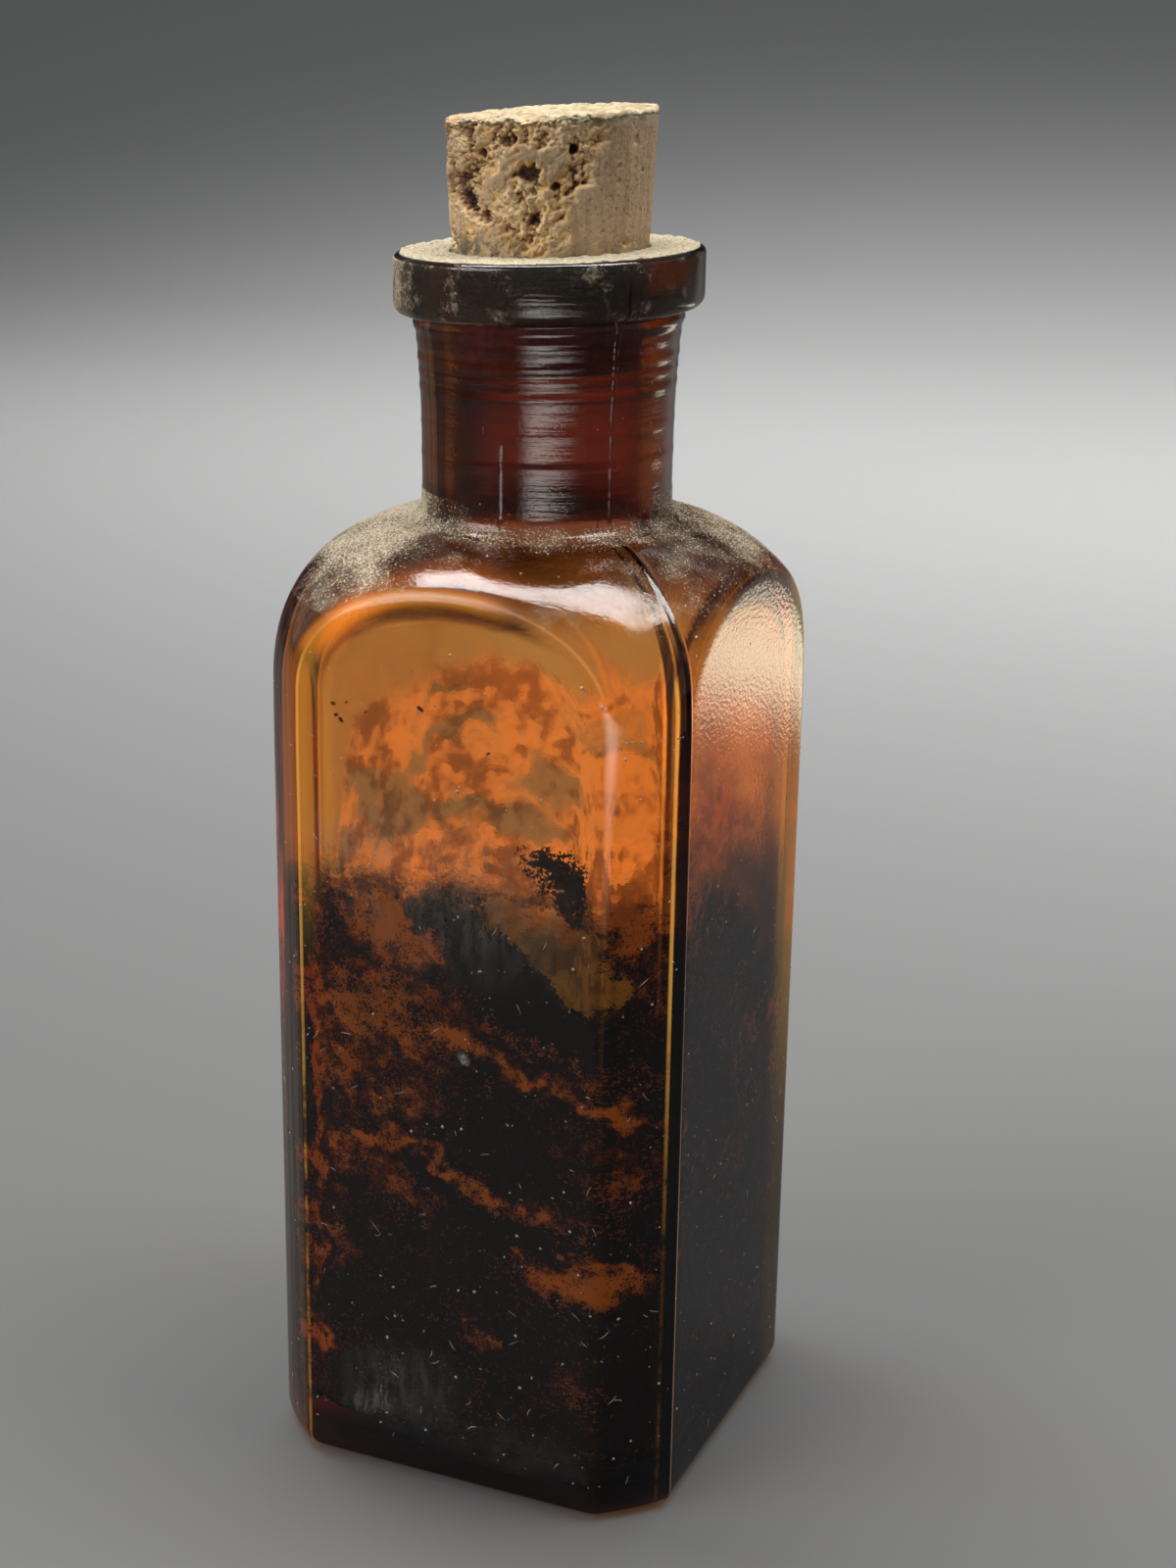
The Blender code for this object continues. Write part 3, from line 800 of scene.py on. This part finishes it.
def shoulder_cover(where, fine, lumps):
    x, y, z = axes(where)
    low_left = spread(x, -12 * MM, -6 * MM, 1.3 * MM, 0.0)
    root = times(spread(maths("ADD", z, low_left), 89.7 * MM, 90.5 * MM), fade(z, 90.9 * MM, 92.2 * MM))
    root = times(root, spread(x, -9 * MM, -4 * MM, 0.60, 0.34))
    left = times(spread(x, -14 * MM, 2 * MM, 0.70, 0.0), spread(z, 84 * MM, 90 * MM, 0.3, 1.0))
    back = times(spread(y, -6 * MM, 6 * MM, 0.0, 0.5), spread(z, 84 * MM, 89 * MM))
    # dust on the right of the dome, which also stands in for a painted sheen there
    right = times(spread(x, 10 * MM, 15 * MM, 0.0, 0.20), spread(z, 83 * MM, 87 * MM))
    thick = most(root, left, back, right)
    patchy = grain(where, 240, 3, 0.6)
    film = spread(uneven(patchy, 1.6, thick), 0.10, 1.1, 0.0, 0.42)
    flecks = uneven(lumps, 1.2, uneven(fine, 2.4, uneven(patchy, 0.8, thick)))
    return most(film, spread(flecks, 0.46, 0.78, 0.0, 0.85))


def lip_cover(where, fine, lumps):
    x, _, z = axes(where)
    left = maths("ADD", spread(x, -12.5 * MM, -6 * MM, 0.80, 0.06), spread(z, 112.5 * MM, 114 * MM, 0.0, 0.10))
    thick = uneven(grain(where, 420, 3, 0.6), 2.0, uneven(lumps, 1.0, left))
    return spread(thick, 0.20, 1.0, 0.03, 0.9)


def bloom_cover(where, fine, lumps):
    rows = (
        (-5, 9.5, 6.5, 4.2, 8, 0.04), (-8, 7.0, 3.2, 1.2, 10, 0.08), (-10, 63.5, 6, 3.0, -8, 0.04),
        (6, 5.5, 10, 2.4, 0, 0.02), (1.6, 44.6, 0.5, 0.7, 40, 0.34), (0, 60, 13, 8, -6, 0.05),
    )
    clouds = uneven(fine, 0.8, grain(stretched(where, (1300, 1300, 300)), 1.0, 4, 0.7))
    return times(blots(in_millimetres(where), rows, "front"), spread(clouds, 0.40, 0.64, 0.25, 1.5))


shoulder_dust = shell("shoulder_dust", 84 * MM, 93.4 * MM, 0.04 * MM)
dress(shoulder_dust, dust_look("tan_dust", (0.60, 0.51, 0.37), (0.36, 0.30, 0.21), shoulder_cover))
lip_side_dust = shell("lip_side_dust", 109.4 * MM, 114.3 * MM, 0.03 * MM)
dress(lip_side_dust, dust_look("grey_dust", (0.48, 0.40, 0.27), (0.22, 0.19, 0.15), lip_cover))

bpy.ops.object.select_all(action="DESELECT")
bpy.ops.mesh.primitive_cube_add(size=1, location=(0, -20.54 * MM, 36 * MM))
bloom = bpy.context.object
bloom.name = bloom.data.name = "grey_bloom"
bloom.scale = (29 * MM, 0.02 * MM, 66 * MM)
bpy.ops.object.transform_apply(location=True, scale=True)
dress(bloom, dust_look("grey_bloom", (0.44, 0.41, 0.34), (0.31, 0.285, 0.24), bloom_cover))


def outward(turn):
    return Vector((math.cos(turn), math.sin(turn), 0))


def scatter_specks(count):
    """Tiny flakes and short hairs, lying flat on the glass. Lengths in it are millimetres."""
    bpy.ops.mesh.primitive_ico_sphere_add(subdivisions=1, radius=1.0)
    pattern = bpy.context.object
    flake = [vert.co.copy() for vert in pattern.data.vertices]
    facets = [tuple(face.vertices) for face in pattern.data.polygons]
    bpy.data.objects.remove(pattern, do_unlink=True)
    dome = [(radius, level) for radius, level in outside if 84 * MM < level < 90.3 * MM]
    draw = random.Random(11)
    points, faces = [], []
    for n in range(count):
        pick = draw.random()
        up = 3 + 80 * draw.random() ** 1.05
        if pick < 0.46:
            at, out = Vector((draw.uniform(-15, 15), -BODY_HALF / MM, up)), Vector((0, -1, 0))
        elif pick < 0.74:
            at, out = Vector((BODY_HALF / MM, draw.uniform(-15, 15), up)), Vector((1, 0, 0))
        elif pick < 0.88:
            out = outward(math.radians(draw.choice((-45, -45, -135)) + draw.uniform(-8, 8)))
            at = out * CORNER_RADIUS / MM + Vector((0, 0, min(up, 76)))
        elif pick < 0.92:
            out = outward(math.radians(draw.uniform(-180, 60)))
            at = out * (NECK_RADIUS / MM + 0.02) + Vector((0, 0, draw.uniform(93, 107)))
        else:
            turn = math.radians(draw.uniform(-180, 60))
            low, high = dome[int(draw.random() * (len(dome) - 1)):][:2]
            wall = Vector((high[0] - low[0], high[1] - low[1])).normalized()
            out = Vector((math.cos(turn) * wall.y, math.sin(turn) * wall.y, -wall.x))
            at = Vector((math.cos(turn) * low[0], math.sin(turn) * low[0], low[1])) / MM
            if max(abs(at.x), abs(at.y)) > BODY_HALF / MM:
                continue
        across = Vector((-math.sin(turn), math.cos(turn), 0)) if out.z else out.cross(Vector((0, 0, 1)))
        hair = draw.random() < 0.16
        long = draw.uniform(0.25, 0.75) if hair else 0.045 + 0.16 * draw.random() ** 2.5
        thin = draw.uniform(0.022, 0.035) if hair else long * draw.uniform(0.5, 1.0)
        heading = draw.uniform(0, math.pi)
        along = across * math.cos(heading) + out.cross(across) * math.sin(heading)
        beside = out.cross(along)
        first = len(points)
        bow = draw.uniform(-0.35, 0.35) if hair else 0.0
        for co in flake:
            moved = at + along * co.x * long + beside * (co.y * thin + bow * long * co.x * co.x) + out * co.z * 0.03
            points.append(moved * MM)
        faces += [tuple(first + corner for corner in face) for face in facets]
    mesh = bpy.data.meshes.new("specks")
    mesh.from_pydata(points, [], faces)
    made = bpy.data.objects.new("specks", mesh)
    scene.collection.objects.link(made)
    bpy.ops.object.select_all(action="DESELECT")
    bpy.context.view_layer.objects.active = made
    made.select_set(True)
    lift_lean()
    bpy.ops.object.shade_smooth()
    return made


specks = scatter_specks(680)
dress(specks, dust_look("lint", (0.58, 0.54, 0.46), (0.24, 0.22, 0.18)))
for piece in (lip_dust, shoulder_dust, lip_side_dust, bloom, specks):
    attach(piece, "bottle")


# Cork.
# A tapered plug cut from cork bark, pushed nearly half of its length into the neck. One side has dried out
# and crumbled into torn layers and pits, the other is still as smooth as it was cut.
CORK_FOOT_RADIUS = 8.3 * MM
CORK_TAPER = 0.0525
CORK_EDGE = 0.4 * MM
# (azimuth in degrees, height over the lip, radius, depth) of the pores and pits that are seen best, in mm
PITS = (
    (-14, 9.3, 0.42, 0.5), (-26, 7.3, 0.24, 0.3), (-26, 6.1, 0.28, 0.3), (-6, 6.7, 0.28, 0.4), (-18, 0.9, 0.5, 0.5),
    (-53, 9.0, 0.6, 0.9), (-78, 7.2, 1.5, 0.9), (-88, 9.9, 0.9, 0.5), (-99, 7.8, 1.0, 0.4), (-63, 6.0, 0.6, 0.4),
    (-74, 3.2, 0.9, 0.4), (-104, 3.6, 1.1, 0.4), (-40, 11.0, 0.8, 0.4), (-57, 1.8, 0.6, 0.4),
    (-119, 4.8, 1.5, 0.8), (-126, 6.6, 1.2, 0.5), (-106, 9.0, 0.9, 0.4), (24, 8.0, 0.3, 0.4), (60, 4.0, 0.4, 0.4),
    (95, 9.0, 0.35, 0.4), (130, 5.5, 0.45, 0.5), (160, 8.2, 0.3, 0.4), (-170, 3.0, 0.4, 0.4),
)
# (height over the lip in mm, azimuth in degrees) of the line where the smooth side begins
SMOOTH_EDGE = ((-2, -56), (2, -56), (5.3, -50), (6.6, -39), (9.2, -33), (11, -28), (13, -24))


def cork_radius(height):
    return CORK_FOOT_RADIUS + CORK_TAPER * (height - CORK_FOOT)


bare = LIP_TOP - 0.8 * MM
top_radius = cork_radius(CORK_TOP) - CORK_EDGE
cork_line = [(0.0, CORK_FOOT)] + straight((0.0, CORK_FOOT), (CORK_FOOT_RADIUS, CORK_FOOT), 10)
cork_line += straight((CORK_FOOT_RADIUS, CORK_FOOT), (cork_radius(bare), bare), 14)
cork_line += straight((cork_radius(bare), bare), (cork_radius(CORK_TOP - CORK_EDGE), CORK_TOP - CORK_EDGE), 84)
cork_line += arc((top_radius, CORK_TOP - CORK_EDGE), CORK_EDGE, 0, 90, 5)[1:]
cork_line += straight((top_radius, CORK_TOP), (0.0, CORK_TOP), 46)
cork = turned("worn_cork", cork_line, 400)
bpy.ops.object.mode_set(mode="OBJECT")


def smooth_edge(up):
    """The azimuth, in degrees, where the crumbled side ends at a height over the lip in mm."""
    for (low, first), (high, last) in zip(SMOOTH_EDGE, SMOOTH_EDGE[1:]):
        if up <= high:
            return first + (last - first) * max(up - low, 0) / (high - low)
    return SMOOTH_EDGE[-1][1]


def torn_depth(point):
    """How deep the cork is torn at a point, in mm."""
    spot = point / MM
    up = spot.z - LIP_TOP / MM
    turn = math.degrees(math.atan2(spot.y, spot.x))
    wander = noise.fractal(spot * 0.55, 1.0, 2.0, 3) * 11
    zone = smooth_step((smooth_edge(up) + wander - turn) / 7) * smooth_step((turn + 176 + wander) / 14)
    zone *= smooth_step((up + 0.9 + wander * 0.05) / 1.6)
    layers = smooth_step((-92 + wander - turn) / 22) * smooth_step((up - 2.5) / 2)
    coarse = noise.fractal(spot * 0.42 + Vector((3.1, 0, 7)), 1.0, 2.0, 4)
    flakes = noise.noise(Vector((spot.x * 0.4, spot.y * 0.4, spot.z * (0.8 + 0.7 * layers)))) * 3.4 % 1.0
    crumbs = abs(noise.noise(spot * 1.35 + Vector((coarse, 0, 2)))) * 0.55
    crumbs += abs(noise.noise(spot * 2.9)) * 0.34
    crumbs += abs(noise.noise(spot * 5.6)) * 0.16
    torn = 0.62 + layers * 0.46 - coarse * 0.74 - flakes * (0.24 + 0.48 * layers) - crumbs * 1.12
    edge = 1 - 0.6 * smooth_step((-140 - turn) / 20)
    depth = zone * max(torn, 0.03) * edge
    for at, level, radius, deep in PITS:
        off = math.radians((turn - at + 180) % 360 - 180) * math.hypot(spot.x, spot.y)
        away = math.hypot(off, (up - level) * 1.15) + noise.noise(spot * 1.6) * radius * 0.35
        depth += deep * smooth_step((radius - away) / (radius * 0.7))
    return depth + 0.045 * max(noise.noise(spot * 2.3), 0)


def shape_cork(mesh):
    """Tears the side, roughens the top and stores each vertex's depth for the material."""
    torn = mesh.attributes.new("torn", "FLOAT", "POINT")
    for vert in mesh.vertices:
        radius = math.hypot(vert.co.x, vert.co.y)
        if vert.co.z < LIP_TOP - 1.0 * MM:
            continue
        rim = smooth_step((radius - cork_radius(CORK_TOP) + 1.6 * MM) / (1.6 * MM))
        side = 1.0 if vert.co.z < CORK_TOP - 0.5 * MM else rim
        depth = torn_depth(vert.co) * side if side > 0 else 0.0
        torn.data[vert.index].value = depth
        if radius > 0.5 * MM:
            vert.co *= Vector((1 - depth * MM / radius, 1 - depth * MM / radius, 1))
        if side < 1:
            spot = vert.co / MM
            worn = max(noise.fractal(spot * 0.5, 1.0, 2.0, 5), -0.3) * 0.3
            worn += noise.voronoi(spot * 1.6)[0][0] * 0.16
            vert.co.z -= (worn + rim * 0.12) * MM
            torn.data[vert.index].value = worn * 0.8


shape_cork(cork.data)
lift_lean()
bpy.ops.object.shade_smooth()


def cork_look():
    made, shader, where = new_material("cork_bark")
    x, _, z = axes(where)
    stored = made.node_tree.nodes.new("ShaderNodeAttribute")
    stored.attribute_name = "torn"
    torn = stored.outputs["Fac"]
    flecks = grain(where, 2600, 4, 0.75)
    cells = grain(where, 700, 4, 0.6)
    patches = grain(where, 260)
    streaks = grain(stretched(where, (1300, 1300, 90)), 1.0, 3, 0.6)
    # The torn side is tan on the raised crumbs and darker in the pits, nearly black in the deepest; the dark in the
    # pits is painted shade.
    ridge = stir(spread(patches, 0.40, 0.60), (0.80, 0.49, 0.21), (0.93, 0.68, 0.37))
    pits = stir(spread(patches, 0.42, 0.60), (0.14, 0.08, 0.045), (0.33, 0.15, 0.07))
    level = uneven(flecks, 0.8, uneven(cells, 1.1, torn))
    layered = times(spread(x, -6.0 * MM, -1.8 * MM, 0.88, 0.0), spread(z, 118 * MM, 120.5 * MM))
    ridge = stir(times(layered, spread(patches, 0.40, 0.60, 1.0, 0.35)), ridge, (0.22, 0.12, 0.065))
    rough_side = stir(spread(level, 0.34, 0.72), ridge, pits)
    rough_side = stir(spread(level, 0.70, 1.02), rough_side, (0.075, 0.045, 0.030))
    cut_side = stir(spread(streaks, 0.36, 0.66), (0.45, 0.30, 0.175), (0.60, 0.42, 0.25))
    cut_side = stir(spread(flecks, 0.54, 0.62, 0.0, 0.8), cut_side, (0.56, 0.41, 0.25))
    cut_side = stir(spread(flecks, 0.45, 0.36, 0.0, 0.6), cut_side, (0.16, 0.11, 0.07))
    colour = stir(spread(torn, 0.06, 0.22), cut_side, rough_side)
    grime = times(fade(z, 115.0 * MM, 116.8 * MM), spread(cells, 0.40, 0.55))
    grime = times(grime, spread(x, -2 * MM, 5 * MM, 0.85, 0.3), spread(z, 113.0 * MM, 114.6 * MM))
    colour = stir(grime, colour, (0.12, 0.11, 0.07))
    stained = times(fade(z, 112.0 * MM, 114.8 * MM), spread(cells, 0.35, 0.65, 0.45, 0.8))
    colour = stir(stained, colour, (0.16, 0.08, 0.042))
    crown = stir(spread(cells, 0.36, 0.62), (0.30, 0.22, 0.13), (0.50, 0.43, 0.28))
    colour = stir(times(spread(z, 125.3 * MM, 126.1 * MM), 0.9), colour, crown)
    normal = bumped(plus(times(flecks, 0.11), cells, 0.24))
    feed(shader, {"Base Color": colour, "Roughness": 0.95, "Specular IOR Level": 0.2, "Normal": normal})
    return made


dress(cork, cork_look())
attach(cork, "cork")
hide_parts("cork_stopper")


# Table and light.
# A pale table that sweeps up behind into a pale wall, its colour darker near the bottle as painted shade, with two
# patches that glow only in the bottle's reflections. A long soft lamp hangs over the bottle, a broad one stands to
# the front left, and the far table is lit by a lamp of its own.
SWEEP_START = 0.6
SWEEP_RISE = 0.55

bpy.ops.object.select_all(action="DESELECT")
bpy.ops.mesh.primitive_grid_add(x_subdivisions=2, y_subdivisions=40, size=2, location=(0, 0, 0))
table = bpy.context.object
table.name = "table"
table.scale = (3.0, 2.0, 1)
bpy.ops.object.transform_apply(scale=True)
for vert in table.data.vertices:
    far = max(vert.co.y - SWEEP_START, 0.0)
    vert.co.z = SWEEP_RISE * far * far
bpy.ops.object.shade_smooth()


def table_look():
    """Pale colour, darker near the bottle as painted shade. Rays mirrored on the bottle see it darker and rays
    through the glass see it paler, painted light and shade in what the glass shows, and only mirrored rays see the
    two glowing patches on it, painted reflections.
    """
    made, shader, where = new_material("table_top")
    seen = made.node_tree.nodes.new("ShaderNodeLightPath").outputs
    x, y, _ = axes(where)
    # darker near the bottle and paler far back: painted shade
    paint_with_painted_shade = stir(spread(y, -0.05, 0.45), (0.125, 0.125, 0.123), (0.25, 0.25, 0.247))
    # darker for rays mirrored on the bottle and paler for rays through the glass: painted light and shade in what the
    # glass shows
    paint_with_painted_shade = stir(seen["Is Glossy Ray"], paint_with_painted_shade, (0.065, 0.065, 0.065))
    paint_with_painted_shade = stir(seen["Is Transmission Ray"], paint_with_painted_shade, (0.27, 0.27, 0.265))
    mirrored = most(maths("SUBTRACT", seen["Is Glossy Ray"], seen["Is Transmission Ray"]), 0.0)
    # two patches that glow only for rays mirrored on the bottle: painted reflections
    behind = times(spread(y, 0.222, 0.275), spread(x, 0.0, 0.10), spread(y, 0.315, 0.345, 1.0, 0.06))
    behind = times(behind, spread(x, 0.20, 0.30, 2.8, 0.0))
    before = times(band(x, -0.03, 0.11, 0.13, 0.33), fade(y, -0.27, -0.15), spread(y, -0.70, -0.50, 0.0, 4.5))
    warmth = stir(spread(y, 0.0, 0.1), (1.0, 0.95, 0.88), (1.0, 0.90, 0.68))
    gleam = times(maths("ADD", behind, before), mirrored)
    feed(shader, {"Base Color": paint_with_painted_shade, "Roughness": 0.6, "Emission Color": warmth, "Emission Strength": gleam})
    return made


dress(table, table_look())

world = bpy.data.worlds.new("room")
scene.world = world
world.use_nodes = True
backdrop = world.node_tree.nodes["Background"]
feed(backdrop, {"Color": (0.9, 0.92, 0.95), "Strength": 0.22})


def soft_lamp(name, place_at, look_at, size, size_y, power):
    bpy.ops.object.light_add(type="AREA", location=place_at)
    lamp = bpy.context.object
    lamp.name = name
    lamp.data.shape = "RECTANGLE"
    lamp.data.size, lamp.data.size_y = size, size_y
    lamp.data.energy = power
    lamp.rotation_euler = (Vector(look_at) - Vector(place_at)).to_track_quat("-Z", "Y").to_euler()
    return lamp


soft_lamp("overhead", (-0.01, 0.065, 0.59), (-0.01, 0.0, 0.05), 0.72, 0.19, 5.4)
soft_lamp("window", (-0.42, -0.50, 0.52), (0, 0, 0.06), 0.5, 0.5, 4.0)
far_lamp = soft_lamp("far_table", (0.05, 0.55, 0.5), (0.05, 0.55, 0.0), 0.9, 0.25, 3.0)
far_lamp.data.spread = math.radians(100)
